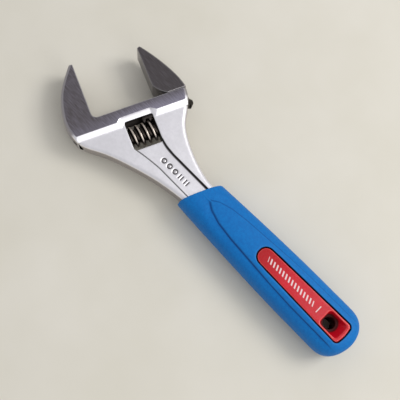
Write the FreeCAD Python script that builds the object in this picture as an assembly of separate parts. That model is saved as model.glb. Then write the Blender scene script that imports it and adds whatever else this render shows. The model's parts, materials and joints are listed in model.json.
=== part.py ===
"""Adjustable wrench, 200 mm class, with a two-layer handle grip.

Frame: the origin is the centre of the hanging hole, on the mid-plane of the tool. +X runs along the handle
towards the jaws, +Z is the outward normal of the front face, and +Y is on the fixed jaw's side.
Sizes are in millimetres.

The head has its own directions, turned by HEAD_TURN from the handle: `u` runs along the jaw's slide, from the
fixed jaw towards the moving jaw, and `v` points out of the jaw opening. Both are zero on the worm's axis.
"""

import FreeCAD
import Part
import math
import os
from FreeCAD import Vector

# ---------------------------------------------------------------- driving dimensions
HEAD_TURN = math.radians(22.5)      # jaw opening, turned from the handle's axis
WORM_X, WORM_Y = 138.5, -2.6        # the worm's centre in the handle's frame
HEAD_HALF = 7.0                     # half the head's thickness
NECK_HALF = 5.2                     # half the neck's and tang's thickness

# jaw opening
JAW_GAP = 36.05                     # gap at rest
FIXED_FACE_U = -23.2                # the fixed jaw's face
MOVING_FACE_U = FIXED_FACE_U + JAW_GAP
THROAT_V = 15.3                     # bottom of the jaw opening
FACE_GAP = 0.12                     # running gap under the moving jaw

# slide bore, slot and rack
BORE_V = 8.0
BORE_R = 4.5
RACK_R = 4.4
SLOT_HALF = 2.3
RIB_HALF = 2.15                     # half the thickness of the rib that joins the moving jaw to its rack
RIB_INTO_JAW = 1.5                  # how far the rib reaches into the jaw above it
RACK_START_U, RACK_END_U = 1.3, 31.3
RACK_START_BEVEL = 0.5
RACK_TAPER, RACK_END_R = 3.4, 1.1   # the rack's free end narrows over this length to this radius
BORE_END_U = -35.0                  # the bore stops here, and a small drilled hole goes on to the outside
PILOT_R = 1.5

# worm and rack teeth
PITCH = 3.5
WORM_R = 6.1                        # over the thread's crest
WORM_ROOT_R = 3.9
CREST_HALF = 0.40                   # half the crest's width
FLANK = 0.8 / 2.2                   # how much a flank widens per millimetre of depth
WORM_END_BEVEL = 0.8
WORM_TURNS = 6                      # before the ends are trimmed; even, to keep a crest at u = 0
THREAD_MEAN_R = 5.1
TOOTH_TIP_V = WORM_ROOT_R + 0.3
TOOTH_ROOT_V = WORM_R + 0.25
TOOTH_TIP_HALF = 0.36
LEAD_SLOPE = PITCH / (2 * math.pi * THREAD_MEAN_R)   # the teeth lean with the thread's lead angle

# window for the worm, in u and v
WINDOW_U = (-8.6, 7.4)
WINDOW_V = (-8.5, 7.8)
WINDOW_CORNER_R = 1.0
WORM_U = (-8.25, 7.1)

# worm pin and spring
PIN_R = 1.70
PIN_HOLE_R = 1.75
PIN_THREAD_R = 2.40
TAPPED_R = 2.50
PIN_BLIND_U = -12.5
PIN_SHOULDER_U = 16.0
PIN_OUTER_U = 22.0
PIN_BEVEL = 0.4
PIN_HOLE_PAST = 0.3                 # how far its hole goes beyond the pin's ends
PIN_SLOT_WIDTH, PIN_SLOT_DEPTH = 0.9, 1.1
SPRING_POCKET_R = 3.0
SPRING_POCKET_U = -3.0
SPRING_MEAN_R, SPRING_WIRE_R, SPRING_PITCH = 2.42, 0.33, 1.0
SPRING_PLAY = (0.02, 0.05)          # left at the window's side and at the pocket's floor

# outlines, with points in u and v on the head and in x and y along the handle
THROAT_R = 3.0                      # inside corner of the fixed jaw
FIXED_TIP_V = 49.0
MOVING_TIP_V = 46.0
TIP_WIDTH, TIP_DROP = 2.0, 0.7      # the blunt end of a jaw
HEEL_U = 29.7                       # the head's end under the moving jaw
HEEL_OVERHANG = 0.3                 # how far the moving jaw reaches past it
FIXED_BACK_UV = ((-29.6, 43.0), (-34.5, 34.8), (-37.5, 25.0), (-38.3, 18.0), (-37.7, 12.5), (-35.3, 5.6))
NECK_LEFT_XY = ((146.0, 22.9), (129.0, 16.1), (115.0, 12.0), (102.0, 9.6))
NECK_RIGHT_XY = ((99.8, -9.3), (109.9, -12.5), (120.1, -17.3), (127.5, -23.0))
HEEL_UV = ((25.4, 1.9), (28.5, 8.2))
MOVING_BACK_UV = ((19.6, 39.0), (24.4, 30.6), (28.4, 21.5))
RELIEF_TOP_V = 22.0                 # the hollow at the moving jaw's toe starts here on its face
RELIEF_LENGTH = 6.4                 # and ends this far along its foot
RELIEF_MIDDLE = (2.6, 3.0)          # a point on the hollow, from the sharp corner that it replaces

HEAD_EDGE_R = 2.2
NECK_EDGE_R = 2.2
JAW_EDGE_R = 1.0

# bevel between the head's face and the neck, in v
BEVEL_TOP_V = 8.5
BEVEL_FOOT_V = 5.5

# step round the window, in u and v: its foot on the neck's face and its crown on the head's face
STEP_FOOT = ((-10.6, BEVEL_FOOT_V), (-8.7, 7.5), (6.8, 7.5), (8.8, BEVEL_FOOT_V))
STEP_CROWN = ((-12.2, BEVEL_TOP_V), (-10.1, 10.6), (7.2, 10.6), (10.4, BEVEL_TOP_V))
STEP_LOW_V = -4.0

# recessed web along the handle
WEB_FLOOR = 3.7                     # half thickness left in the recess
WEB_Y = (-4.6, 5.7)                 # its two sides along the neck
WEB_STRAIGHT_X = 118.0              # from here to the window the sides spread apart
WEB_FLARE_RIGHT = (124.0, -5.1)
WEB_FLARE_LEFT = (126.5, 6.6)
WEB_INSET = 0.3                     # how far inside the window's sides the recess meets it
WEB_END_X = 22.0
WEB_DRAFT = 0.4
STAMP_X = (119.5, 115.3, 111.1, 106.9, 102.7)
STAMP_Y = 0.9
STAMP_RING_R = (0.85, 1.6)
STAMP_BAR = (0.75, 3.0)             # length along the handle and across it
STAMP_BAR_SHIFT = 0.85              # from the mark's middle to each of its two bars
STAMP_RINGS = 3                     # the first marks are rings, the others are pairs of bars
STAMP_DEPTH = 0.35

# tang inside the grip
TANG_END_X = -9.0
TANG_HALF = 8.2
TANG_TOP_X = 88.0
TANG_HOLE_R = 4.6

# grip
GRIP_CUT_V = -42.7                  # the grip's mouth is cut along the slide direction
GRIP_X = (112.0, -15.6)             # both ends of the grip's outside
GRIP_HALF = (14.2, 12.0)            # half width and half depth of its even part
GRIP_TAPER = (3.3, 2.4)             # how much slimmer each is at the mouth
GRIP_TAPER_X = 20.0                 # the taper starts here
GRIP_TAPER_POWER = 1.5
GRIP_EXPONENT = 2.6                 # squareness of the grip's section
GRIP_SECTION_POINTS = 24
GRIP_NOSE = 12.5                    # length of the rounded end
GRIP_NOSE_POWER = 2.4               # squareness of the rounded end
GRIP_NOSE_DEPTH = 0.50              # share of the depth that is left at the very end
GRIP_STEPS = 12                     # sections along the even part
GRIP_NOSE_SHARES = (0.0, 0.2, 0.4, 0.58, 0.73, 0.85, 0.93, 0.98, 0.995)   # sections along the rounded end
CORE_HALF_Y = (9.7, 10.9)           # half width at the mouth and at the end
CORE_HALF_Z = 7.8
CORE_START_X, CORE_END_X = 105.0, -12.0
CORE_EDGE_R = 3.0
CORE_CORNER_R = (2.0, 6.0)          # at the mouth and at the end
CORE_SETBACK = 1.5                  # how far its mouth lies inside the cover's
LAYER_GAP = 0.05

# red panel that shows through the cover's window
PANEL_X = (50.0, -8.6)
PANEL_HALF = (4.4, 5.8)
PANEL_TOP_Z = 11.0
PANEL_GROOVE = 0.6                  # the open groove round it
PANEL_ROUND = 0.95                  # the round at the head's end, as a share of the half width there
PANEL_CORNER_R = 2.0
PANEL_BOW, PANEL_BOW_R = 0.9, 16.0  # how far the end bows out, and the radius at its middle
DISH_X = (4.4, -7.4)
DISH_HALF = 4.7
DISH_FLOOR_Z = 6.4
DISH_FLOOR_MARGIN = 0.4             # between the hanging hole and the dish's side at its floor
DISH_CORNER_R = (2.6, 1.8)          # at the floor and at the top
DISH_BOW = 0.1                      # how far its end bows out, as a share of its half width
HANG_HOLE_R = 3.2

U_DIR = Vector(-math.sin(HEAD_TURN), -math.cos(HEAD_TURN), 0)
V_DIR = Vector(math.cos(HEAD_TURN), -math.sin(HEAD_TURN), 0)
Z_DIR = Vector(0, 0, 1)
FAR = 90.0                          # longer than anything that is cut


# ---------------------------------------------------------------- helpers
def head(u, v, z=0.0):
    """A point given in the head's u and v."""
    return Vector(WORM_X, WORM_Y, z) + U_DIR * u + V_DIR * v


def curve(points):
    """A smooth edge through the points."""
    spline = Part.BSplineCurve()
    spline.interpolate(points)
    return spline.toShape()


def line(a, b):
    return Part.LineSegment(a, b).toShape()


def face_of(edges):
    return Part.Face(Part.Wire(Part.__sortEdges__(edges)))


def slab(face, low, high):
    """The face, drawn at z = 0, as a solid from low to high."""
    moved = face.copy()
    moved.translate(Vector(0, 0, low))
    return moved.extrude(Vector(0, 0, high - low))


def head_polygon(points, z=0.0):
    """A closed polygon from (u, v) pairs."""
    corners = [head(u, v, z) for u, v in points]
    return Part.makePolygon(corners + corners[:1])


def rod(radius, u_low, u_high, v=0.0):
    """A round bar along the slide direction."""
    return Part.makeCylinder(radius, u_high - u_low, head(u_low, v), U_DIR)


def both_sides(cutter):
    """The cutter and its mirror image in the mid-plane."""
    return [cutter, cutter.mirror(Vector(0, 0, 0), Z_DIR)]


def rounded_face(corners):
    """A face from (point, radius) corners: straight sides joined by tangent arcs."""
    count = len(corners)
    starts, middles, ends = [], [], []
    for i, (corner, radius) in enumerate(corners):
        before = (corners[i - 1][0] - corner).normalize()
        after = (corners[(i + 1) % count][0] - corner).normalize()
        half = before.getAngle(after) / 2
        reach = radius / math.tan(half)
        starts.append(corner + before * reach)
        ends.append(corner + after * reach)
        middles.append(corner + (before + after).normalize() * (radius / math.sin(half) - radius))
    edges = []
    for i in range(count):
        edges.append(line(ends[i - 1], starts[i]))
        edges.append(Part.Arc(starts[i], middles[i], ends[i]).toShape())
    return face_of(edges)


def fillet_where(solid, radius, wanted):
    """Rounds the solid's edges for which wanted(edge) is true."""
    edges = [e for e in solid.Edges if wanted(e)]
    return solid.makeFillet(radius, edges)


def is_circle(edge):
    return isinstance(edge.Curve, Part.Circle)


def is_spline(edge):
    return isinstance(edge.Curve, Part.BSplineCurve)


def at_z(edge, z, slack=1e-3):
    box = edge.BoundBox
    return abs(box.ZMin - z) < slack and abs(box.ZMax - z) < slack


# ---------------------------------------------------------------- forged body
def jaw_tip(face_u, side, tip_v):
    """The blunt tip of a jaw, as its two ends; side is +1 when the metal lies towards +u."""
    return head(face_u, tip_v - TIP_DROP), head(face_u + side * TIP_WIDTH, tip_v)


def on_head(pairs):
    return [head(u, v) for u, v in pairs]


def on_handle(pairs):
    return [Vector(x, y, 0) for x, y in pairs]


def head_outline():
    """Fixed jaw, head and neck, seen from the front. The neck ends square inside the grip."""
    dip = THROAT_R * (1 - math.sqrt(0.5))
    throat_face = head(FIXED_FACE_U, THROAT_V + THROAT_R)
    throat_floor = head(FIXED_FACE_U + THROAT_R, THROAT_V)
    throat_middle = head(FIXED_FACE_U + dip, THROAT_V + dip)
    tip_front, tip_back = jaw_tip(FIXED_FACE_U, -1, FIXED_TIP_V)
    neck_left, neck_right = Vector(TANG_TOP_X, TANG_HALF, 0), Vector(TANG_TOP_X, -TANG_HALF, 0)
    heel = head(HEEL_U, THROAT_V)
    return [
        line(throat_face, tip_front),
        line(tip_front, tip_back),
        curve([tip_back, *on_head(FIXED_BACK_UV), *on_handle(NECK_LEFT_XY), neck_left]),
        line(neck_left, neck_right),
        curve([neck_right, *on_handle(NECK_RIGHT_XY), *on_head(HEEL_UV), heel]),
        line(heel, throat_floor),
        Part.Arc(throat_floor, throat_middle, throat_face).toShape(),
    ]


def tang(extra=0.0):
    """The flat bar inside the grip, round at its end, grown by extra on every side."""
    half = TANG_HALF + extra
    thick = NECK_HALF + extra
    end = Part.makeCylinder(half, 2 * thick, Vector(TANG_END_X + TANG_HALF, 0, -thick))
    length = TANG_TOP_X - (TANG_END_X + TANG_HALF)
    bar = Part.makeBox(length, 2 * half, 2 * thick, Vector(TANG_END_X + TANG_HALF, -half, -thick))
    return bar.fuse(end)


def neck_cutters():
    """What is taken off the front of the head: the neck's side of the bevel, and a step round the window."""
    above = 1.5                     # the cutters reach this far above the head's face
    grow = (HEAD_HALF - NECK_HALF + above) / (HEAD_HALF - NECK_HALF)
    run = BEVEL_TOP_V - BEVEL_FOOT_V
    straight = Part.Face(Part.makePolygon([
        head(-FAR, BEVEL_FOOT_V, NECK_HALF),
        head(-FAR, BEVEL_FOOT_V + run * grow, HEAD_HALF + above),
        head(-FAR, -FAR, HEAD_HALF + above),
        head(-FAR, -FAR, NECK_HALF),
        head(-FAR, BEVEL_FOOT_V, NECK_HALF),
    ])).extrude(U_DIR * (2 * FAR))
    foot, crown = (
        [(points[0][0], STEP_LOW_V), *points, (points[-1][0], STEP_LOW_V)]
        for points in (STEP_FOOT, STEP_CROWN)
    )
    rim = [(a + (c - a) * grow, b + (d - b) * grow) for (a, b), (c, d) in zip(foot, crown)]
    step = Part.makeLoft([head_polygon(foot, NECK_HALF), head_polygon(rim, HEAD_HALF + above)], True, True)
    return [straight, step]


def recess_wire(spread, z):
    """The outline of the handle's recess at height z, spread outwards from its floor's outline."""
    right_y, left_y = WEB_Y[0] - spread, WEB_Y[1] + spread
    inside_v = WINDOW_V[0] + WINDOW_CORNER_R
    right = [
        head(WINDOW_U[1] - WEB_INSET + spread, inside_v, z),
        Vector(WEB_FLARE_RIGHT[0], WEB_FLARE_RIGHT[1] - spread, z),
        Vector(WEB_STRAIGHT_X, right_y, z),
    ]
    left = [
        Vector(WEB_STRAIGHT_X, left_y, z),
        Vector(WEB_FLARE_LEFT[0], WEB_FLARE_LEFT[1] + spread, z),
        head(WINDOW_U[0] + WEB_INSET - spread, inside_v, z),
    ]
    right_end, left_end = Vector(WEB_END_X, right_y, z), Vector(WEB_END_X, left_y, z)
    end_middle = Vector(WEB_END_X - (left_y - right_y) / 3, (left_y + right_y) / 2, z)
    return Part.Wire([
        line(left[2], right[0]),
        curve(right),
        line(right[2], right_end),
        Part.Arc(right_end, end_middle, left_end).toShape(),
        line(left_end, left[0]),
        curve(left),
    ])


def web_recess():
    """The long shallow pocket that lightens one side of the handle, from the window to inside the grip."""
    above = 1.0                     # the cutter reaches this far above the neck's face
    grow = WEB_DRAFT * (NECK_HALF + above - WEB_FLOOR) / (NECK_HALF - WEB_FLOOR)
    return Part.makeLoft([recess_wire(0, WEB_FLOOR), recess_wire(grow, NECK_HALF + above)], True, True)


def size_stamps():
    """A row of generic stamped marks in the recess: rings, then pairs of bars."""
    low = WEB_FLOOR - STAMP_DEPTH
    height = 2 * STAMP_DEPTH
    marks = []
    for x in STAMP_X[:STAMP_RINGS]:
        inner, outer = (Part.makeCylinder(r, height, Vector(x, STAMP_Y, low)) for r in STAMP_RING_R)
        marks.append(outer.cut(inner))
    length, width = STAMP_BAR
    for x in STAMP_X[STAMP_RINGS:]:
        for shift in (-STAMP_BAR_SHIFT, STAMP_BAR_SHIFT):
            corner = Vector(x + shift - length / 2, STAMP_Y - width / 2, low)
            marks.append(Part.makeBox(length, width, height, corner))
    return marks


def window():
    (u0, u1), (v0, v1) = WINDOW_U, WINDOW_V
    corners = [(head(u, v), WINDOW_CORNER_R) for u, v in ((u0, v0), (u1, v0), (u1, v1), (u0, v1))]
    return slab(rounded_face(corners), -HEAD_HALF - 1, HEAD_HALF + 1)


def slide_way():
    """The keyhole passage for the rack: a round blind bore, its pilot hole, and a slot up to the throat."""
    bore = rod(BORE_R, BORE_END_U, FAR, BORE_V)
    pilot = rod(PILOT_R, -FAR, BORE_END_U + 1, BORE_V)
    slot = Part.makeBox(FAR, THROAT_V + 1 - BORE_V, 2 * SLOT_HALF)
    slot.Placement = head_placement(FIXED_FACE_U, BORE_V, -SLOT_HALF)
    return [bore, pilot, slot]


def head_placement(u, v, z=0.0):
    """Puts a shape drawn with x along u, y along v and z along z in its place on the head."""
    turn = FreeCAD.Rotation(U_DIR, V_DIR, Z_DIR, "ZXY")
    return FreeCAD.Placement(head(u, v, z), turn)


def forging(half, edge_r):
    """The body's outline as a plate with its outside edges rounded."""
    plate = slab(face_of(head_outline()), -half, half)
    return fillet_where(plate, edge_r, lambda e: (at_z(e, half) or at_z(e, -half)) and is_spline(e))


def make_body():
    thick = forging(HEAD_HALF, HEAD_EDGE_R)
    for cutter in neck_cutters():
        for side in both_sides(cutter):
            thick = thick.cut(side)
    below = Part.makeBox(2 * FAR, 3 * FAR, 2 * FAR)
    below.Placement = head_placement(-FAR, BEVEL_FOOT_V - 3 * FAR, -FAR)
    body = forging(NECK_HALF, NECK_EDGE_R).fuse(thick.cut(below)).fuse(tang())
    cutters = [window(), *slide_way()]
    cutters += both_sides(web_recess())
    for mark in size_stamps():
        cutters += both_sides(mark)
    cutters.append(rod(PIN_HOLE_R, PIN_BLIND_U - PIN_HOLE_PAST, PIN_SHOULDER_U + PIN_HOLE_PAST))
    cutters.append(rod(TAPPED_R, PIN_SHOULDER_U, FAR))
    cutters.append(Part.makeCylinder(TANG_HOLE_R, 2 * FAR, Vector(0, 0, -FAR)))
    for cutter in cutters:
        body = body.cut(cutter)
    return body


# ---------------------------------------------------------------- moving jaw
def jaw_block():
    bottom = THROAT_V + FACE_GAP
    tip_front, tip_back = jaw_tip(MOVING_FACE_U, 1, MOVING_TIP_V)
    heel = head(HEEL_U + HEEL_OVERHANG, bottom)
    relief_top = head(MOVING_FACE_U, RELIEF_TOP_V)
    relief_foot = head(MOVING_FACE_U + RELIEF_LENGTH, bottom)
    relief_middle = head(MOVING_FACE_U + RELIEF_MIDDLE[0], bottom + RELIEF_MIDDLE[1])
    return face_of([
        line(relief_top, tip_front),
        line(tip_front, tip_back),
        curve([tip_back, *on_head(MOVING_BACK_UV), heel]),
        line(heel, relief_foot),
        Part.Arc(relief_foot, relief_middle, relief_top).toShape(),
    ])


def rack_bar():
    """The rack before its teeth are cut: a round bar, bevelled at its start and tapered at its free end."""
    bar_end = RACK_END_U - RACK_TAPER
    bar = rod(RACK_R, RACK_START_U, bar_end, BORE_V)
    bar = bar.makeChamfer(RACK_START_BEVEL, [e for e in bar.Edges if is_circle(e)][:1])
    return bar.fuse(Part.makeCone(RACK_R, RACK_END_R, RACK_TAPER, head(bar_end, BORE_V), U_DIR))


def tooth_gap(u):
    """One gap between the rack's teeth, leaning with the thread."""
    def half(v):
        return PITCH / 2 - (TOOTH_TIP_HALF + (v - TOOTH_TIP_V) * FLANK)

    beyond = 1.2                    # the cut starts this far outside the teeth's tips
    low_v = TOOTH_TIP_V - beyond
    reach = RACK_R + 1.0
    points = [(-half(low_v), low_v), (half(low_v), low_v), (half(TOOTH_ROOT_V), TOOTH_ROOT_V),
              (-half(TOOTH_ROOT_V), TOOTH_ROOT_V)]
    shifted = [(u + a - LEAD_SLOPE * reach, v) for a, v in points]
    profile = Part.Face(head_polygon(shifted, -reach))
    return profile.extrude((Z_DIR + U_DIR * LEAD_SLOPE) * (2 * reach))


def make_moving_jaw():
    block = slab(jaw_block(), -HEAD_HALF, HEAD_HALF)
    block = fillet_where(
        block, JAW_EDGE_R, lambda e: (at_z(e, HEAD_HALF) or at_z(e, -HEAD_HALF)) and is_spline(e)
    )
    rib_start = MOVING_FACE_U + RELIEF_LENGTH
    rib = Part.makeBox(HEEL_U - rib_start, THROAT_V + RIB_INTO_JAW - BORE_V, 2 * RIB_HALF)
    rib.Placement = head_placement(rib_start, BORE_V, -RIB_HALF)
    tip_trim = Part.makeBox(FAR, TOOTH_TIP_V, 2 * FAR)
    tip_trim.Placement = head_placement(RACK_START_U - 1, 0, -FAR)
    jaw = block.fuse(rib).fuse(rack_bar().cut(tip_trim))
    for k in range(math.floor(RACK_START_U / PITCH), math.ceil(RACK_END_U / PITCH) + 1):
        jaw = jaw.cut(tooth_gap(k * PITCH))
    return jaw


# ---------------------------------------------------------------- worm, pin and spring
def along_u(shape):
    """Turns a shape drawn along Z, with its zero angle on X, to run along u with that angle on v."""
    turn = FreeCAD.Rotation(V_DIR, Z_DIR, U_DIR, "ZXY")
    return shape.transformed(FreeCAD.Placement(head(0, 0), turn).toMatrix())


def thread_profile(start):
    """The thread's section, a little deeper than the finished thread."""
    inner = WORM_ROOT_R - 0.5
    low_half = CREST_HALF + (WORM_R - inner) * FLANK
    return Part.makePolygon([
        Vector(inner, 0, start - low_half), Vector(WORM_R, 0, start - CREST_HALF),
        Vector(WORM_R, 0, start + CREST_HALF), Vector(inner, 0, start + low_half),
        Vector(inner, 0, start - low_half),
    ])


def end_ring(low, high, low_r, high_r):
    """What a conical chamfer takes off a round bar's end."""
    cone = Part.makeCone(low_r, high_r, high - low, Vector(0, 0, low))
    return Part.makeCylinder(WORM_R + 1, high - low, Vector(0, 0, low)).cut(cone)


def make_worm():
    length = PITCH * WORM_TURNS
    helix = Part.makeHelix(PITCH, length, WORM_ROOT_R)
    helix.translate(Vector(0, 0, -length / 2))
    sweep = Part.BRepOffsetAPI.MakePipeShell(Part.Wire(helix))
    sweep.setBiNormalMode(Z_DIR)
    sweep.add(thread_profile(-length / 2))
    sweep.build()
    sweep.makeSolid()
    worm = Part.makeCylinder(WORM_ROOT_R, length, Vector(0, 0, -length / 2)).fuse(sweep.shape())
    low, high = WORM_U
    bevel = WORM_END_BEVEL
    worm = worm.common(Part.makeCylinder(WORM_R + 1, high - low, Vector(0, 0, low)))
    past = 0.1                      # the cones reach this far past both ends of their chamfers
    worm = worm.cut(end_ring(low - past, low + bevel + past, WORM_R - bevel - past, WORM_R + past))
    worm = worm.cut(end_ring(high - bevel - past, high + past, WORM_R + past, WORM_R - bevel - past))
    worm = worm.cut(Part.makeCylinder(PIN_HOLE_R, 2 * FAR, Vector(0, 0, -FAR)))
    worm = worm.cut(Part.makeCylinder(SPRING_POCKET_R, SPRING_POCKET_U - low + 1, Vector(0, 0, low - 1)))
    return along_u(worm)


def make_pin():
    shank = rod(PIN_R, PIN_BLIND_U, PIN_SHOULDER_U)
    thread = rod(PIN_THREAD_R, PIN_SHOULDER_U, PIN_OUTER_U)
    thread = thread.makeChamfer(PIN_BEVEL, [e for e in thread.Edges if is_circle(e)])
    slot = Part.makeBox(2 * PIN_SLOT_DEPTH, 4 * PIN_THREAD_R, PIN_SLOT_WIDTH)
    slot.Placement = head_placement(PIN_OUTER_U - PIN_SLOT_DEPTH, -2 * PIN_THREAD_R, -PIN_SLOT_WIDTH / 2)
    return shank.fuse(thread).cut(slot)


def make_spring():
    low = WINDOW_U[0] + SPRING_WIRE_R + SPRING_PLAY[0]
    height = SPRING_POCKET_U - SPRING_WIRE_R - SPRING_PLAY[1] - low
    helix = Part.makeHelix(SPRING_PITCH, height, SPRING_MEAN_R)
    helix.translate(Vector(0, 0, low))
    lead = math.atan(SPRING_PITCH / (2 * math.pi * SPRING_MEAN_R))
    section = Part.Wire(Part.makeCircle(
        SPRING_WIRE_R, Vector(SPRING_MEAN_R, 0, low), Vector(0, math.cos(lead), math.sin(lead))
    ))
    return along_u(Part.Wire(helix).makePipeShell([section], True, True))


# ---------------------------------------------------------------- grip
def grip_half(x):
    """The grip's half width and half depth at x."""
    run = max(0.0, x - GRIP_TAPER_X) / (GRIP_X[0] - GRIP_TAPER_X)
    return [half - slimmer * run ** GRIP_TAPER_POWER for half, slimmer in zip(GRIP_HALF, GRIP_TAPER)]


def grip_section(x, width, depth):
    """A rounded section across the handle, as one smooth closed curve."""
    power = 2 / GRIP_EXPONENT
    points = []
    for i in range(GRIP_SECTION_POINTS):
        a = 2 * math.pi * (i + 0.5) / GRIP_SECTION_POINTS
        c, s = math.cos(a), math.sin(a)
        y = width * math.copysign(abs(c) ** power, c)
        z = depth * math.copysign(abs(s) ** power, s)
        points.append(Vector(x, y, z))
    spline = Part.BSplineCurve()
    spline.interpolate(Points=points, PeriodicFlag=True)
    return Part.Wire(spline.toShape())


def grip_outer():
    """The grip's outside: an even loft along the handle, closed by a second loft with a rounded end."""
    mouth_x, end_x = GRIP_X
    nose_x = end_x + GRIP_NOSE
    along = [mouth_x + (nose_x - mouth_x) * i / GRIP_STEPS for i in range(GRIP_STEPS + 1)]
    bar = Part.makeLoft([grip_section(x, *grip_half(x)) for x in along], True, False)
    nose = []
    width, depth = GRIP_HALF
    for share in GRIP_NOSE_SHARES:
        slim = (1 - share ** GRIP_NOSE_POWER) ** (1 / GRIP_NOSE_POWER)
        slim_depth = GRIP_NOSE_DEPTH + (1 - GRIP_NOSE_DEPTH) * slim
        nose.append(grip_section(nose_x - GRIP_NOSE * share, width * slim, depth * slim_depth))
    return bar.fuse(Part.makeLoft(nose, True, False))


def beyond_mouth(v):
    """Everything on the head's side of the grip's slanted mouth."""
    box = Part.makeBox(2 * FAR, FAR, 2 * FAR)
    box.Placement = head_placement(-FAR, v, -FAR)
    return box


def core_prism(extra):
    """The inner layer's plain outside, grown by extra."""
    y0, y1 = (h + extra for h in CORE_HALF_Y)
    half_z = CORE_HALF_Z + extra
    start, end = CORE_START_X, CORE_END_X - extra
    start_r, end_r = CORE_CORNER_R
    solid = slab(rounded_face([
        (Vector(start, -y0, 0), start_r), (Vector(start, y0, 0), start_r),
        (Vector(end, y1, 0), end_r), (Vector(end, -y1, 0), end_r),
    ]), -half_z, half_z)
    solid = fillet_where(solid, CORE_EDGE_R, lambda e: at_z(e, half_z) or at_z(e, -half_z))
    return solid.cut(beyond_mouth(GRIP_CUT_V - CORE_SETBACK + extra))


def panel_solid(extra, low, high):
    """The long panel: a full round at the head's end, rounded corners and a slight bow at the other."""
    x0, x1 = PANEL_X[0] + extra, PANEL_X[1] - extra
    a, b = PANEL_HALF[0] + extra, PANEL_HALF[1] + extra
    corner = PANEL_CORNER_R + extra
    face = rounded_face([
        (Vector(x0, -a, 0), a * PANEL_ROUND), (Vector(x0, a, 0), a * PANEL_ROUND),
        (Vector(x1, b, 0), corner), (Vector(x1 - PANEL_BOW, 0, 0), PANEL_BOW_R), (Vector(x1, -b, 0), corner),
    ])
    return slab(face, low, high)


def dish():
    """The funnel that leads into the hanging hole."""
    def ring(x0, x1, half, radius, z):
        corners = [
            (Vector(x0, -half, z), radius), (Vector(x0, half, z), radius), (Vector(x1, half, z), radius),
            (Vector(x1 - DISH_BOW * half, 0, z), radius), (Vector(x1, -half, z), radius),
        ]
        return rounded_face(corners).OuterWire

    small = HANG_HOLE_R + DISH_FLOOR_MARGIN
    above = 1.0                     # the cutter reaches this far above the panel
    grow = (PANEL_TOP_Z + above - DISH_FLOOR_Z) / (PANEL_TOP_Z - DISH_FLOOR_Z)
    floor_r, top_r = DISH_CORNER_R
    floor = (small, -small, small, floor_r)
    wide = [a + (b - a) * grow for a, b in zip(floor, (*DISH_X, DISH_HALF, top_r))]
    return Part.makeLoft([ring(*floor, DISH_FLOOR_Z), ring(*wide, PANEL_TOP_Z + above)], True, True)


def tang_room():
    """The room that the grip leaves for the tang and the neck."""
    neck = slab(face_of(head_outline()), -NECK_HALF - LAYER_GAP, NECK_HALF + LAYER_GAP)
    room = tang(LAYER_GAP)
    for shift in (-LAYER_GAP, LAYER_GAP):
        moved = neck.copy()
        moved.translate(Vector(0, shift, 0))
        room = room.fuse(moved)
    return room


def make_grip_core():
    core = core_prism(0)
    core = core.fuse(panel_solid(0, -PANEL_TOP_Z, PANEL_TOP_Z))
    core = core.cut(tang_room())
    half = NECK_HALF + 0.5          # the lining runs into the layer above and below the tang
    lining = Part.makeCylinder(TANG_HOLE_R - LAYER_GAP, 2 * half, Vector(0, 0, -half))
    core = core.fuse(lining)
    for side in both_sides(dish()):
        core = core.cut(side)
    return core.cut(Part.makeCylinder(HANG_HOLE_R, 2 * FAR, Vector(0, 0, -FAR)))


def make_grip_cover():
    cover = grip_outer().cut(beyond_mouth(GRIP_CUT_V))
    cover = cover.cut(core_prism(LAYER_GAP))
    cover = cover.cut(panel_solid(PANEL_GROOVE, -FAR, FAR))
    return cover.cut(tang_room())


# ---------------------------------------------------------------- build
NODES = {
    "forged_body": make_body,
    "moving_jaw": make_moving_jaw,
    "worm": make_worm,
    "worm_pin": make_pin,
    "worm_spring": make_spring,
    "grip_core": make_grip_core,
    "grip_cover": make_grip_cover,
}


def main():
    os.makedirs("parts", exist_ok=True)
    for name, make in NODES.items():
        shape = make()
        if not shape.isValid() or len(shape.Solids) != 1:
            raise ValueError(f"{name} is not one sound solid")
        print(f"{name}: one solid, {shape.Volume:.1f} mm3")
        shape.exportStep(f"parts/{name}.step")


main()
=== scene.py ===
"""Looks of the adjustable wrench: finer meshes for the CAD parts, their materials, and a plain studio.

Places are in millimetres on the frame's own axes, with the hanging hole's centre at zero. Only names that end
in U or V differ: U runs along the jaw's slide and V out of the jaw opening, both zero on the worm's axis.
"""

import json

import bmesh
import bpy
import numpy as np
from mathutils import Matrix, Vector

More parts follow.
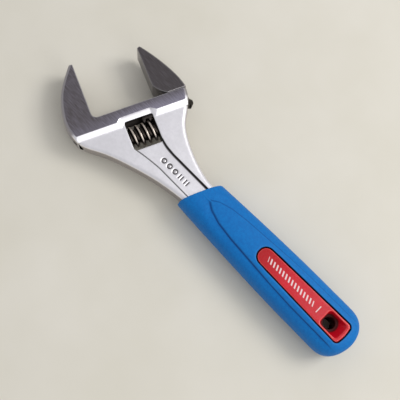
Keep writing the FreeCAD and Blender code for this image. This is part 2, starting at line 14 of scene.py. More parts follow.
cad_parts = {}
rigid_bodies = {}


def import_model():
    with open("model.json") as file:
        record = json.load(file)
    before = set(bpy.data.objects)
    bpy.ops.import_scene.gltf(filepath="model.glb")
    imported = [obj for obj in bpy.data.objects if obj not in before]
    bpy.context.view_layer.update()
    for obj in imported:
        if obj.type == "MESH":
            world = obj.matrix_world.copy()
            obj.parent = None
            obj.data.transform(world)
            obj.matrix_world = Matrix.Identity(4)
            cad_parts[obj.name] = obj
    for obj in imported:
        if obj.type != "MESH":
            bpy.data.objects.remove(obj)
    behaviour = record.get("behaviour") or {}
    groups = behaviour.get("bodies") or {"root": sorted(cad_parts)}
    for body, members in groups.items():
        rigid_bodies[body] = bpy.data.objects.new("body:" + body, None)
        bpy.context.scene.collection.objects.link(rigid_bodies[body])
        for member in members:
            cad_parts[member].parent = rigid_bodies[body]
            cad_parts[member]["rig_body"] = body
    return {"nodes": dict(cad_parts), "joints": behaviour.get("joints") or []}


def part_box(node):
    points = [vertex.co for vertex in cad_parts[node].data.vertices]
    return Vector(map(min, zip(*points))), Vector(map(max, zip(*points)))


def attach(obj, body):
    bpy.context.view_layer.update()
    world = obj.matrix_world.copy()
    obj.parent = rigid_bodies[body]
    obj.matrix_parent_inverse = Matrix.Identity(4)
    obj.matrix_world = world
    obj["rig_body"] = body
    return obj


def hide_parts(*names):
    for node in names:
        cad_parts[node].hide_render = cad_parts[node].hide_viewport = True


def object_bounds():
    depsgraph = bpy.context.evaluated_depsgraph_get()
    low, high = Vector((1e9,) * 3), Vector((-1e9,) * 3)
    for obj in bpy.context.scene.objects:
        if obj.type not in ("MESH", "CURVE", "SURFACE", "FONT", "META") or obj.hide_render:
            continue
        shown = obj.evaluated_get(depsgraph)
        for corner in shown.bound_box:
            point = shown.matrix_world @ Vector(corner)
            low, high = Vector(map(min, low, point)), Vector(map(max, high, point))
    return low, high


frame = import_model()
CAD_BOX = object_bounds()

MM = 0.001
COARSE = 1.0      # coarser meshes while trying things out

joints = {joint["name"]: joint for joint in frame["joints"]}
WORM = Vector(joints["worm_spin"]["pos_m"])
U = Vector(joints["worm_spin"]["axis"])
V = Vector((0, 0, 1)).cross(U)


# ---------------------------------------------------------------- meshes
def coordinates(mesh):
    """The vertices as an array, in millimetres."""
    flat = np.empty(len(mesh.vertices) * 3)
    mesh.vertices.foreach_get("co", flat)
    return flat.reshape(-1, 3) / MM


def set_coordinates(mesh, points):
    mesh.vertices.foreach_set("co", (points * MM).ravel())
    mesh.update()


def normals(mesh):
    flat = np.empty(len(mesh.vertices) * 3)
    mesh.vertex_normals.foreach_get("vector", flat)
    return flat.reshape(-1, 3)


def edges(mesh):
    flat = np.empty(len(mesh.edges) * 2, np.int32)
    mesh.edges.foreach_get("vertices", flat)
    return flat.reshape(-1, 2)


def neighbour_mean(mesh, values):
    """Each vertex's mean over its neighbours."""
    pairs = edges(mesh)
    total = np.zeros_like(values)
    count = np.zeros(len(values))
    for a, b in ((0, 1), (1, 0)):
        np.add.at(total, pairs[:, a], values[pairs[:, b]])
        np.add.at(count, pairs[:, a], 1)
    count = np.maximum(count, 1)
    return total / (count[:, None] if values.ndim == 2 else count)


def head_uv(points):
    """u and v of points given in millimetres."""
    away = points - np.array(WORM) / MM
    return away @ np.array(U), away @ np.array(V)


def smooth_step(low, high, values):
    """Rises from 0 at low to 1 at high. High may be below low, for a falling step."""
    t = np.clip((values - low) / (high - low), 0, 1)
    return t * t * (3 - 2 * t)


def uprightness(facing, level, upright):
    """Rises from 0 to 1 as the surface grows steeper and its normal's height falls from level to upright."""
    return smooth_step(level, upright, np.abs(facing[:, 2]))


def add_attribute(mesh, name, values):
    layer = mesh.attributes.get(name) or mesh.attributes.new(name, "FLOAT", "POINT")
    layer.data.foreach_set("value", np.asarray(values, np.float32))


def add_bend_attributes(mesh, radius):
    """Stores how convex ("edge") and how hollow ("hollow") the surface is, 1 where its radius is `radius`."""
    points, facing, pairs = coordinates(mesh), normals(mesh), edges(mesh)
    bend = np.zeros(len(points))
    count = np.zeros(len(points))
    for a, b in ((0, 1), (1, 0)):
        step = points[pairs[:, b]] - points[pairs[:, a]]
        fall = -(facing[pairs[:, a]] * step).sum(1) / np.maximum((step ** 2).sum(1), 1e-9)
        np.add.at(bend, pairs[:, a], 2 * fall)
        np.add.at(count, pairs[:, a], 1)
    bend /= np.maximum(count, 1)
    for _ in range(2):
        bend = (bend + neighbour_mean(mesh, bend)) / 2
    add_attribute(mesh, "edge", np.clip(bend * radius, 0, 1))
    add_attribute(mesh, "hollow", np.clip(-bend * radius, 0, 1))


MERGE_DISTANCE = 0.002      # the CAD faces' meshes meet within this
SHARPEN = 0.5               # how much of each round's smoothing is taken back


def evenly_meshed(source, name, voxel):
    """A new mesh of evenly spaced points over a CAD node's surface, which itself is left as it is."""
    mesh = source.data.copy()
    merged = bmesh.new()
    merged.from_mesh(mesh)
    bmesh.ops.remove_doubles(merged, verts=merged.verts, dist=MERGE_DISTANCE * MM)
    merged.to_mesh(mesh)
    merged.free()
    rough = bpy.data.objects.new(name + "_rough", mesh)
    bpy.context.scene.collection.objects.link(rough)
    remesh = rough.modifiers.new("remesh", "REMESH")
    remesh.mode = "VOXEL"
    remesh.voxel_size = voxel * COARSE * MM
    bpy.context.view_layer.update()
    evaluated = rough.evaluated_get(bpy.context.evaluated_depsgraph_get())
    fine = bpy.data.meshes.new_from_object(evaluated)
    bpy.data.objects.remove(rough)
    fine.materials.clear()
    return fine


def soften(mesh, rounds):
    """Smooths the voxels' steps and returns the points. Each round sharpens once, so that little is lost."""
    points = coordinates(mesh)
    for _ in range(rounds):
        points = (points + neighbour_mean(mesh, points)) / 2
        points = points * (1 + SHARPEN) - neighbour_mean(mesh, points) * SHARPEN
        points = (points + neighbour_mean(mesh, points)) / 2
    set_coordinates(mesh, points)
    return points


def refined(node, name, voxel, rounds=2, shape=None):
    """An evenly meshed piece that replaces a CAD node. `shape` may move its points before it is kept."""
    source = frame["nodes"][node]
    fine = evenly_meshed(source, name, voxel)
    points = soften(fine, rounds)
    if shape is not None:
        set_coordinates(fine, shape(points, normals(fine)))
    low, high = (np.array(corner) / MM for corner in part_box(node))
    set_coordinates(fine, np.clip(coordinates(fine), low, high))
    fine.shade_smooth()
    piece = bpy.data.objects.new(name, fine)
    bpy.context.scene.collection.objects.link(piece)
    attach(piece, source["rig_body"])
    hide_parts(node)
    return piece


# ---------------------------------------------------------------- material helpers
class Nodes:
    """A material's node tree, with one short method for each kind of node."""

    def __init__(self, name):
        self.material = bpy.data.materials.new(name)
        self.material.use_nodes = True
        self.tree = self.material.node_tree
        self.shader = self.tree.nodes["Principled BSDF"]
        self.place = self.add("ShaderNodeTexCoord").outputs["Object"]

    def add(self, kind, **settings):
        node = self.tree.nodes.new(kind)
        for key, value in settings.items():
            setattr(node, key, value)
        return node

    def put(self, socket, value):
        """Sets a socket, or links it if the value is another node's output."""
        if isinstance(value, bpy.types.NodeSocket):
            self.tree.links.new(value, socket)
        else:
            socket.default_value = value

    def stretch(self, vector, scale):
        node = self.add("ShaderNodeMapping")
        self.put(node.inputs["Vector"], vector)
        node.inputs["Scale"].default_value = scale
        return node.outputs["Vector"]

    def noise(self, size, detail=3.0, roughness=0.55, vector=None):
        """Noise whose blobs are about `size` millimetres."""
        node = self.add("ShaderNodeTexNoise")
        self.put(node.inputs["Vector"], self.place if vector is None else vector)
        node.inputs["Scale"].default_value = 1 / (size * MM)
        node.inputs["Detail"].default_value = detail
        node.inputs["Roughness"].default_value = roughness
        return node.outputs["Fac"]

    def cells(self, size):
        node = self.add("ShaderNodeTexVoronoi")
        self.put(node.inputs["Vector"], self.place)
        node.inputs["Scale"].default_value = 1 / (size * MM)
        return node.outputs["Distance"]

    def attribute(self, name):
        return self.add("ShaderNodeAttribute", attribute_name=name).outputs["Fac"]

    def ranged(self, value, low, high, to_low=0.0, to_high=1.0):
        node = self.add("ShaderNodeMapRange")
        for key, number in (("Value", value), ("From Min", low), ("From Max", high),
                            ("To Min", to_low), ("To Max", to_high)):
            self.put(node.inputs[key], number)
        return node.outputs["Result"]

    def maths(self, operation, a, b):
        node = self.add("ShaderNodeMath", operation=operation)
        self.put(node.inputs[0], a)
        self.put(node.inputs[1], b)
        return node.outputs[0]

    def blend(self, share, a, b):
        """A colour between a and b."""
        node = self.add("ShaderNodeMix", data_type="RGBA")
        self.put(node.inputs[0], share)
        for socket, colour in ((node.inputs[6], a), (node.inputs[7], b)):
            self.put(socket, (*colour, 1.0) if isinstance(colour, tuple) else colour)
        return node.outputs[2]

    def axes_mm(self):
        """The surface's own x, y and z, in millimetres."""
        node = self.add("ShaderNodeSeparateXYZ")
        self.put(node.inputs[0], self.place)
        return [self.maths("DIVIDE", socket, MM) for socket in node.outputs]

    def under(self, value, limit, blur=0.08):
        """1 where the value is under the limit."""
        return self.ranged(value, limit - blur, limit + blur, 1.0, 0.0)

    def over(self, value, limit, blur=0.1):
        """1 where the value is over the limit."""
        return self.ranged(value, limit - blur, limit)

    def repeated(self, value, pitch):
        """The value folded back to within half a pitch of zero, so that what is drawn from it repeats."""
        wrap = self.add("ShaderNodeMath", operation="WRAP")
        self.put(wrap.inputs[0], value)
        wrap.inputs[1].default_value = pitch / 2
        wrap.inputs[2].default_value = -pitch / 2
        return wrap.outputs[0]

    def ring(self, x, y, inner, outer):
        """1 on a ring round x = y = 0."""
        squares = [self.maths("MULTIPLY", a, a) for a in (x, y)]
        away = self.maths("SQRT", self.maths("ADD", *squares), 0.0)
        off = self.maths("ABSOLUTE", self.maths("SUBTRACT", away, (inner + outer) / 2), 0.0)
        return self.under(off, (outer - inner) / 2)

    def bar(self, x, y, length, width):
        """1 on a bar round x = y = 0."""
        pairs = ((x, length), (y, width))
        sides = [self.under(self.maths("ABSOLUTE", a, 0.0), size / 2) for a, size in pairs]
        return self.maths("MULTIPLY", *sides)

    def bump(self, height, depth, before=None):
        """A bump whose full height is `depth` millimetres."""
        node = self.add("ShaderNodeBump")
        self.put(node.inputs["Height"], height)
        node.inputs["Distance"].default_value = depth * MM
        node.inputs["Strength"].default_value = 1.0
        if before is not None:
            self.put(node.inputs["Normal"], before)
        return node.outputs["Normal"]

    def finish(self, colour, roughness, normal=None, **plain):
        self.put(self.shader.inputs["Base Color"], colour)
        self.put(self.shader.inputs["Roughness"], roughness)
        if normal is not None:
            self.put(self.shader.inputs["Normal"], normal)
        for key, value in plain.items():
            self.shader.inputs[key.replace("_", " ")].default_value = value
        return self.material


# ---------------------------------------------------------------- materials
STAMP_START, STAMP_PITCH, STAMP_Y = 119.5, 4.2, 0.9     # the generic marks stamped in the handle's recess
STAMP_RINGS_END, STAMP_END = 109.0, 100.6
STAMP_RING_R = (0.85, 1.6)
STAMP_FILL = 0.45       # how dark a ring's middle is, against the ring itself
STAMP_BAR = (0.75, 3.0)
STAMP_BAR_SHIFT = 0.85


def stamp_mask(n):
    """1 in the stamped marks: three rings, then two pairs of bars."""
    x, y, _ = n.axes_mm()
    along = n.repeated(n.maths("SUBTRACT", x, STAMP_START), STAMP_PITCH)
    across = n.maths("SUBTRACT", y, STAMP_Y)
    inner, outer = STAMP_RING_R
    fill = n.maths("MULTIPLY", n.ring(along, across, 0.0, outer), STAMP_FILL)
    ring = n.maths("MAXIMUM", n.ring(along, across, inner, outer), fill)
    twin = n.maths("SUBTRACT", n.maths("ABSOLUTE", along, 0.0), STAMP_BAR_SHIFT)
    bars = n.bar(twin, across, *STAMP_BAR)
    marks = n.ranged(n.under(x, STAMP_RINGS_END), 0.0, 1.0, ring, bars)
    row = n.maths("MULTIPLY", n.under(x, STAMP_START + STAMP_PITCH / 2), n.over(x, STAMP_END))
    return n.maths("MULTIPLY", marks, row)


WORN_STEEL = (0.92, 0.92, 0.94)
# painted shade on the steep sides
SHADED_FLANK_STEEL = (0.40, 0.37, 0.37)
# painted shade in the hollows
HOLLOW_SHADE = (0.02, 0.018, 0.018)
SHADED_STEEL = (0.035, 0.030, 0.028)
STAMP_COLOUR = (0.10, 0.09, 0.09)


def scaled(colour, share):
    return tuple(share * c for c in colour)


def steel(name, plain, side, ground, plain_rough, ground_rough, worn_share, stamped=False):
    """Plated steel: satin where the attribute "ground" is 0 and darker, flat-ground metal where it is 1.

    `side` is the colour of the jaws' sides. `ground` holds the ground metal's two colours, far from the bevel
    and at it; the brighter one, at the bevel, is a painted reflection.
    """
    n = Nodes(name)
    is_ground = n.attribute("ground")
    cloud = n.noise(9.0, 2.0)
    lines = n.noise(0.35, 4.0, vector=n.stretch(n.place, (0.06, 1.0, 1.0)))
    pits = n.noise(0.16, 2.0)
    mottle = n.noise(1.6, 3.0, 0.6)
    satin = n.blend(n.ranged(cloud, 0.35, 0.7), plain, scaled(plain, 0.94))
    satin = n.blend(n.ranged(mottle, 0.35, 0.7, 0.0, 0.45), satin, scaled(plain, 0.84))
    # Painted shade on the steep sides, which face away from the light.
    satin = n.blend(n.attribute("flank_shade"), satin, SHADED_FLANK_STEEL)
    satin = n.blend(n.attribute("jaw_side"), satin, side)
    # Painted reflection: the ground metal is brighter by the bevel and away from the fixed jaw.
    dark = n.blend(n.ranged(n.attribute("face_reflection"), 0.0, 1.0), *ground)
    dark = n.blend(n.ranged(lines, 0.35, 0.75, 0.0, 0.30), dark, scaled(ground[1], 1.8))
    colour = n.blend(is_ground, satin, dark)
    worn = n.ranged(n.maths("MULTIPLY", n.attribute("edge"), n.ranged(pits, 0.2, 0.7, 0.6, 1.2)), 0.25, 0.8)
    worn = n.maths("MULTIPLY", worn, n.ranged(n.attribute("jaw_side"), 0.0, 1.0, 0.8, worn_share))
    colour = n.blend(worn, colour, WORN_STEEL)
    # Painted shade in the hollows.
    colour = n.blend(n.ranged(n.attribute("hollow"), 0.2, 0.8, 0.0, 0.8), colour, HOLLOW_SHADE)
    colour = n.blend(n.attribute("inside"), colour, SHADED_STEEL)
    rough = n.ranged(is_ground, 0.0, 1.0, plain_rough, ground_rough)
    rough = n.maths("ADD", rough, n.ranged(lines, 0.3, 0.8, -0.04, 0.08))
    normal = n.bump(lines, 0.006)
    normal = n.bump(pits, 0.004, normal)
    if stamped:
        stamps = stamp_mask(n)
        share = n.maths("MULTIPLY", stamps, n.ranged(pits, 0.2, 0.6, 0.75, 1.0))
        colour = n.blend(share, colour, STAMP_COLOUR)
        normal = n.bump(n.maths("SUBTRACT", 1.0, stamps), 0.02, normal)
    return n.finish(colour, rough, normal, Metallic=1.0)


def dark_steel(name, oil_and_shade, rub_and_highlight, rough, highlight_where=None):
    """Dark steel, oiled on the pin and painted dark for shade on the worm, with lighter spots: rubbed wear
    all over, or a painted highlight where the named attribute is 1.
    """
    n = Nodes(name)
    grain = n.noise(0.25, 3.0)
    bright_share = n.ranged(grain, 0.25, 0.6, 0.55, 1.1)
    if highlight_where is not None:
        # On the worm this is a painted highlight on the thread's crests.
        bright_share = n.maths("MULTIPLY", n.attribute(highlight_where), bright_share)
    colour = n.blend(n.ranged(bright_share, 0.1, 0.9), oil_and_shade, rub_and_highlight)
    roughness = n.ranged(grain, 0.3, 0.7, rough, rough + 0.14)
    return n.finish(colour, roughness, n.bump(grain, 0.01), Metallic=1.0)


def blue_rubber():
    """The grip's soft outer layer, with painted shade in its hollows, along its creases and in the groove
    round the panel, and a painted highlight on its edges.
    """
    n = Nodes("blue_rubber")
    cloud = n.noise(14.0, 3.0)
    mottle = n.noise(1.3, 3.0, 0.6)
    grain = n.noise(0.30, 3.0, 0.6)
    flecks = n.cells(0.55)
    colour = n.blend(n.ranged(cloud, 0.3, 0.7), (0.001, 0.142, 0.46), (0.001, 0.165, 0.51))
    colour = n.blend(n.ranged(mottle, 0.35, 0.7, 0.0, 0.7), colour, (0.001, 0.100, 0.37))
    colour = n.blend(n.ranged(grain, 0.35, 0.75, 0.0, 0.45), colour, (0.006, 0.21, 0.58))
    # Painted highlight on the edges.
    colour = n.blend(n.ranged(n.attribute("edge"), 0.3, 0.9, 0.0, 0.3), colour, (0.03, 0.24, 0.60))
    # Painted shade in the hollows.
    colour = n.blend(n.ranged(n.attribute("hollow"), 0.15, 0.8, 0.0, 0.8), colour, (0.001, 0.022, 0.14))
    # Painted shade along the land's rim, strongest on the fixed jaw's side, away from the light.
    colour = n.blend(n.ranged(n.attribute("crease_shade"), 0.0, 1.0, 0.0, 0.55), colour, (0.001, 0.03, 0.17))
    # Painted shadow in the groove round the panel.
    colour = n.blend(n.attribute("groove"), colour, (0.001, 0.008, 0.03))
    roughness = n.ranged(grain, 0.3, 0.7, 0.48, 0.62)
    normal = n.bump(grain, 0.05)
    normal = n.bump(n.ranged(flecks, 0.0, 0.6), 0.012, normal)
    return n.finish(colour, roughness, normal, Specular_IOR_Level=0.20)


PRINT_START, PRINT_END, PRINT_PITCH = 44.0, 12.5, 2.1      # the generic strokes printed along the panel
PRINT_SLANT = 0.45
PRINT_STROKE = (0.85, 2.7)
PRINT_BAR_X, PRINT_BAR = 8.9, (0.5, 4.0)


def print_mask(n):
    """1 in the printed marks: a row of slanted strokes along the panel, then one bar across it."""
    x, y, _ = n.axes_mm()
    slanted = n.maths("ADD", x, n.maths("MULTIPLY", y, PRINT_SLANT))
    strokes = n.bar(n.repeated(slanted, PRINT_PITCH), y, *PRINT_STROKE)
    row = n.maths("MULTIPLY", n.under(slanted, PRINT_START), n.over(slanted, PRINT_END))
    bar = n.bar(n.maths("SUBTRACT", x, PRINT_BAR_X), y, *PRINT_BAR)
    return n.maths("MAXIMUM", n.maths("MULTIPLY", strokes, row), bar)


PANEL_SHADE_X = (30.0, 48.0)     # painted shade: the panel grows darker between these


def red_plastic():
    """The grip's hard inner layer, with its printed marks, painted shade in the hanging hole, its hollows,
    along the panel's rim and towards its far end, and a painted highlight on its edges.
    """
    n = Nodes("red_plastic")
    cloud = n.noise(6.0, 3.0)
    grain = n.noise(0.22, 3.0)
    colour = n.blend(n.ranged(cloud, 0.3, 0.7), (0.50, 0.002, 0.012), (0.60, 0.004, 0.018))
    # Painted shade towards the panel's far end.
    colour = n.blend(n.ranged(n.axes_mm()[0], *PANEL_SHADE_X), colour, (0.40, 0.001, 0.006))
    # Painted highlight on the edges.
    colour = n.blend(n.ranged(n.attribute("edge"), 0.2, 0.8, 0.0, 0.5), colour, (0.85, 0.12, 0.11))
    # Painted shade in the hollows.
    colour = n.blend(n.ranged(n.attribute("hollow"), 0.2, 0.9, 0.0, 0.8), colour, (0.10, 0.001, 0.002))
    # Painted shade in the hanging hole and along the panel's rim.
    colour = n.blend(n.attribute("inside"), colour, (0.05, 0.001, 0.001))
    ink = n.maths("MULTIPLY", n.attribute("printed"), n.ranged(grain, 0.3, 0.5, 0.7, 0.95))
    ink = n.maths("MULTIPLY", print_mask(n), ink)
    colour = n.blend(ink, colour, (0.78, 0.66, 0.67))
    roughness = n.ranged(grain, 0.3, 0.7, 0.20, 0.28)
    roughness = n.maths("ADD", roughness, n.ranged(n.attribute("inside"), 0.0, 1.0, 0.0, 0.5))
    return n.finish(colour, roughness, n.bump(grain, 0.012), Specular_IOR_Level=0.42)


# ---------------------------------------------------------------- pieces
HEAD_FACE_Z = 6.5       # the head's flat faces lie beyond this height
BEVEL_TOP_V = 8.5
REFLECTION_U = (-24.0, 2.0)   # painted reflection: the ground metal grows brighter between these, away from the fixed jaw
FLAT_FACING = 0.985     # a normal's height on a flat face is at least this
WINDOW_U, WINDOW_V = (-8.6, 7.4), (-8.5, 7.8)
WINDOW_MARGIN = 0.5
BORE_V, BORE_R, PILOT_R = 8.0, 4.5, 1.5
BORE_U = (-35.1, 27.0)               # the rack's bore, beyond which its pilot hole goes on
RECESS_START_X = 90.0
RECESS_Z = (3.2, 3.6, 5.1, 5.35)     # its floor's and its mouth's heights, with the blur of each
RIGHT_LINE = ((118.0, 124.0, 128.9), (-4.75, -5.25, -6.45))     # the recess's sides, as x and y
LEFT_LINE = ((118.0, 126.5, 134.7), (5.85, 6.75, 8.1))
LEFT_LINE_SHARE = 0.5


def ground_faces(mesh):
    """Marks the head's flat faces as ground metal, with a painted reflection that fades from the bevel
    outwards.
    """
    points, facing = coordinates(mesh), normals(mesh)
    u, v = head_uv(points)
    on_top = smooth_step(FLAT_FACING - 0.03, FLAT_FACING, np.abs(facing[:, 2]))
    high = smooth_step(HEAD_FACE_Z - 0.1, HEAD_FACE_Z + 0.3, np.abs(points[:, 2]))
    add_attribute(mesh, "ground", on_top * high)
    near_bevel = 1 - smooth_step(BEVEL_TOP_V, BEVEL_TOP_V + 10, v)
    across = smooth_step(*REFLECTION_U, u)
    # Painted reflection, brightest by the bevel and away from the fixed jaw.
    add_attribute(mesh, "face_reflection", near_bevel ** 1.5 * (0.35 + 0.65 * across))
    add_attribute(mesh, "jaw_side", smooth_step(BEVEL_TOP_V + 0.2, BEVEL_TOP_V + 3.0, v))
    # Painted shade on the steep sides.
    add_attribute(mesh, "flank_shade", uprightness(facing, 0.55, 0.25))


def recess_lines(points):
    """Painted shade on the recess's walls and their feet: 1 along its right side and less along its left."""
    x, y, z = points.T
    floor, above_floor, below_mouth, mouth = RECESS_Z
    depth = smooth_step(floor, above_floor, np.abs(z)) * smooth_step(mouth, below_mouth, np.abs(z))
    right = y - np.interp(x, *RIGHT_LINE)
    right_line = smooth_step(-0.55, -0.3, right) * smooth_step(0.6, 0.3, right) * (x < RIGHT_LINE[0][-1])
    left = y - np.interp(x, *LEFT_LINE)
    left_line = smooth_step(0.5, 0.25, np.abs(left)) * (x < LEFT_LINE[0][-1])
    return depth * (x > RECESS_START_X) * np.maximum(right_line, LEFT_LINE_SHARE * left_line)


def window_walls(points, facing):
    """1 on the walls of the worm's window."""
    u, v = head_uv(points)
    within = np.ones(len(points))
    for place, (low, high) in ((u, WINDOW_U), (v, WINDOW_V)):
        within *= (place > low - WINDOW_MARGIN) & (place < high + WINDOW_MARGIN)
    return within * uprightness(facing, 0.75, 0.45)


def bore_walls(points):
    """1 on the walls of the rack's bore and of its pilot hole."""
    u, v = head_uv(points)
    away = np.hypot(v - BORE_V, points[:, 2])
    end, start = BORE_U
    bore = (away < BORE_R + 0.35) & (u > end) & (u < start)
    return bore | ((away < PILOT_R + 0.2) & (u <= end))


def make_body():
    mesh = refined("forged_body", "wrench_body", 0.30).data
    add_bend_attributes(mesh, 1.2)
    ground_faces(mesh)
    points, facing = coordinates(mesh), normals(mesh)
    walls = np.maximum(window_walls(points, facing), bore_walls(points))
    # Painted shade on the walls of the window, the bore and the recess.
    add_attribute(mesh, "inside", np.maximum(walls, recess_lines(points)))
    mesh.materials.append(steel(
        "satin_chrome", plain=(0.97, 0.95, 1.0), side=(0.36, 0.34, 0.36),
        ground=((0.125, 0.110, 0.112), (0.34, 0.32, 0.40)),
        plain_rough=0.40, ground_rough=0.26, worn_share=0.2, stamped=True
    ))


RACK_TOP_V = 13.5       # the rack and its rib lie below this, inside the head


def make_jaw():
    mesh = refined("moving_jaw", "sliding_jaw", 0.22).data
    add_bend_attributes(mesh, 1.0)
    ground_faces(mesh)
    _, v = head_uv(coordinates(mesh))
    # Painted shade on the rack and its rib, inside the head.
    add_attribute(mesh, "inside", smooth_step(RACK_TOP_V, RACK_TOP_V - 1.0, v))
    mesh.materials.append(steel(
        "polished_jaw", plain=(0.25, 0.235, 0.24), side=(0.22, 0.205, 0.21),
        ground=((0.105, 0.092, 0.094), (0.17, 0.16, 0.18)),
        plain_rough=0.28, ground_rough=0.24, worn_share=0.08
    ))


CREST_HIGHLIGHT_R = (5.75, 6.02)      # painted highlight on the worm's thread from here outwards


def make_worm():
    mesh = refined("worm", "thumb_worm_screw", 0.15).data
    points = coordinates(mesh)
    _, v = head_uv(points)
    add_attribute(mesh, "crest_highlight", smooth_step(*CREST_HIGHLIGHT_R, np.hypot(v, points[:, 2])))
    # The worm is painted dark for shade, with a painted highlight on its crests.
    metal = dark_steel("worm_steel", (0.050, 0.041, 0.036), (0.66, 0.58, 0.51), 0.30, highlight_where="crest_highlight")
    mesh.materials.append(metal)


def make_small_parts():
    """The pin and the spring keep their CAD meshes."""
    metal = dark_steel("pin_steel", (0.10, 0.10, 0.10), (0.45, 0.45, 0.46), 0.30)
    for name in ("worm_pin", "worm_spring"):
        materials = frame["nodes"][name].data.materials
        materials.clear()
        materials.append(metal)


LAND_HEIGHT = 0.55      # how far the land on the grip's faces stands above the sides
LAND_X = (-8.0, 20.0, 35.0, 52.0, 65.0, 75.0, 82.0, 86.0)
LAND_HALF = (8.9, 8.8, 8.2, 7.0, 6.1, 4.8, 2.6, 0.0)      # its half width, down to nothing at its tip
PANEL_TOP_Z = 11.0
PANEL_X, PANEL_HALF = (-8.6, 50.0), (5.8, 4.4)
DARK_HOLE_R = (4.2, 5.2)      # the painted shade in the hanging hole fades between these


def beside_land(points):
    """How far each point lies outside the raised land."""
    x, y, _ = points.T
    return np.abs(y) - np.interp(x, LAND_X, LAND_HALF)


def shape_cover(points, facing):
    """Sinks the sides of the grip a little, most on the fixed jaw's side, so that the land shows."""
    x, y, z = points.T
    outside = smooth_step(0.0, 0.3, (facing * points)[:, 1:].sum(1) / np.hypot(y, z))
    beside = beside_land(points)
    drop = smooth_step(-0.3, 0.6, beside) * (1 - smooth_step(0.8, 6.5, beside))
    front = smooth_step(0.15, 0.5, np.abs(facing[:, 2]))
    side = 0.65 + 0.35 * smooth_step(-2.0, 2.0, y)
    along = smooth_step(-14.0, -4.0, x) * smooth_step(96.0, 84.0, x)
    depth = LAND_HEIGHT * drop * front * outside * side * along
    return points - facing * depth[:, None]


def crease_shade(points):
    """Painted shade: 1 along the land's rim on the fixed jaw's side, fading towards the grip's end and on the
    other side.
    """
    x, y, z = points.T
    line = np.exp(-((beside_land(points) - 0.3) / 0.55) ** 2)
    line *= 0.4 + 0.6 * smooth_step(30.0, 50.0, x)
    line *= 0.2 + 0.8 * smooth_step(-1.5, 1.5, y)
    return line * smooth_step(-10.0, 0.0, x) * smooth_step(88.0, 84.0, x) * smooth_step(8.0, 9.5, np.abs(z))


def near_panel(points):
    """1 close to the panel's outline, where the groove runs round it."""
    x, y, _ = points.T
    half = np.interp(x, PANEL_X, PANEL_HALF)
    start = PANEL_X[1] - half
    across = np.where(x > start, np.hypot(x - start, y), np.abs(y)) - half
    past_end = PANEL_X[0] - x
    away = np.maximum(across, past_end)
    return smooth_step(-0.7, -0.4, away) * smooth_step(1.3, 1.0, away)


def make_grip_cover():
    mesh = refined("grip_cover", "grip_outer_layer", 0.40, rounds=5, shape=shape_cover).data
    add_bend_attributes(mesh, 2.0)
    points, facing = coordinates(mesh), normals(mesh)
    add_attribute(mesh, "crease_shade", crease_shade(points))
    below_mouth = smooth_step(PANEL_TOP_Z + 0.6, PANEL_TOP_Z + 0.1, np.abs(points[:, 2]))
    # Painted shadow in the groove round the panel.
    add_attribute(mesh, "groove", uprightness(facing, 0.8, 0.5) * near_panel(points) * below_mouth)
    mesh.materials.append(blue_rubber())


def make_grip_core():
    mesh = refined("grip_core", "grip_inner_layer", 0.30).data
    add_bend_attributes(mesh, 1.0)
    points, facing = coordinates(mesh), normals(mesh)
    height = np.abs(points[:, 2])
    flat = smooth_step(0.8, 0.95, np.abs(facing[:, 2]))
    add_attribute(mesh, "printed", flat * smooth_step(PANEL_TOP_Z - 0.8, PANEL_TOP_Z - 0.4, height))
    dark_r, clear_r = DARK_HOLE_R
    hole = smooth_step(clear_r, dark_r, np.hypot(points[:, 0], points[:, 1]))
    hole *= smooth_step(PANEL_TOP_Z - 1.0, PANEL_TOP_Z - 4.5, height)
    rim = uprightness(facing, 0.8, 0.5) * near_panel(points)
    rim *= smooth_step(PANEL_TOP_Z - 0.1, PANEL_TOP_Z - 0.5, height)
    # Painted shade in the hanging hole and along the panel's rim.
    add_attribute(mesh, "inside", np.maximum(hole, rim))
    mesh.materials.append(red_plastic())


# ---------------------------------------------------------------- studio
FLOOR_SIZE = 4.0        # metres
FLOOR_GAP = 0.2


def make_floor():
    low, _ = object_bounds()
    bpy.ops.mesh.primitive_plane_add(size=FLOOR_SIZE, location=(low.x, 0, low.z - FLOOR_GAP * MM))
    floor = bpy.context.object
    floor.name = "floor"
    n = Nodes("floor_card")
    cloud = n.noise(60.0, 3.0)
    colour = n.blend(n.ranged(cloud, 0.3, 0.7), (0.655, 0.625, 0.545), (0.70, 0.67, 0.60))
    floor.data.materials.append(n.finish(colour, n.ranged(cloud, 0.3, 0.7, 0.8, 0.9)))


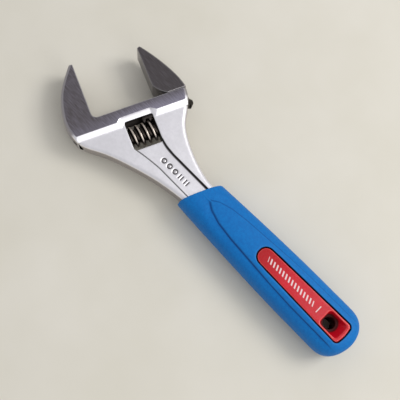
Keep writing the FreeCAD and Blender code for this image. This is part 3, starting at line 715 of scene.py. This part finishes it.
CAMERA_FROM_WORM = Vector((-95.27, 84.09, 362.96)) * MM
CAMERA_AXES = Matrix((      # the camera's right, up and back
    (-0.69752, -0.71363, 0.06485),
    (0.70489, -0.66707, 0.24112),
    (-0.12881, 0.21390, 0.96833),
))
LENS, SENSOR = 63.65, 36.0
CLIP = (0.01, 20.0)


def make_camera():
    data = bpy.data.cameras.new("camera")
    data.lens = LENS
    data.sensor_width = SENSOR
    data.clip_start, data.clip_end = CLIP
    camera = bpy.data.objects.new("camera", data)
    camera.matrix_world = Matrix.Translation(WORM + CAMERA_FROM_WORM) @ CAMERA_AXES.transposed().to_4x4()
    bpy.context.scene.collection.objects.link(camera)
    bpy.context.scene.camera = camera


def make_light(name, direction, distance, size, power, colour=(1.0, 1.0, 1.0)):
    """A square soft light that faces the middle of the tool."""
    data = bpy.data.lights.new(name, "AREA")
    data.size = size
    data.energy = power
    data.color = colour
    light = bpy.data.objects.new(name, data)
    low, high = CAD_BOX
    middle = (low + high) / 2
    away = Vector(direction).normalized()
    light.location = middle + away * distance
    light.rotation_euler = away.to_track_quat("Z", "Y").to_euler()
    bpy.context.scene.collection.objects.link(light)


def make_lights():
    right, up, back = (Vector(row) for row in CAMERA_AXES)
    key_direction = right * 1.0 + up * 0.40 + back * 0.95
    make_light("key", key_direction, distance=1.1, size=0.45, power=5.0, colour=(1.0, 0.985, 0.95))
    make_light("bevel_card", (-0.76, 0.15, 0.63), distance=1.2, size=0.5, power=1.7)
    make_light("panel_card", (-0.40, -0.25, 0.92), distance=1.05, size=0.5, power=1.5)
    world = bpy.data.worlds.new("studio")
    world.use_nodes = True
    background = world.node_tree.nodes["Background"]
    background.inputs["Color"].default_value = (0.98, 0.985, 1.0, 1.0)
    background.inputs["Strength"].default_value = 0.57
    bpy.context.scene.world = world
    bpy.context.scene.view_settings.view_transform = "Standard"     # keeps the plastics' strong colours


make_body()
make_jaw()
make_worm()
make_small_parts()
make_grip_cover()
make_grip_core()
make_floor()
make_camera()
make_lights()
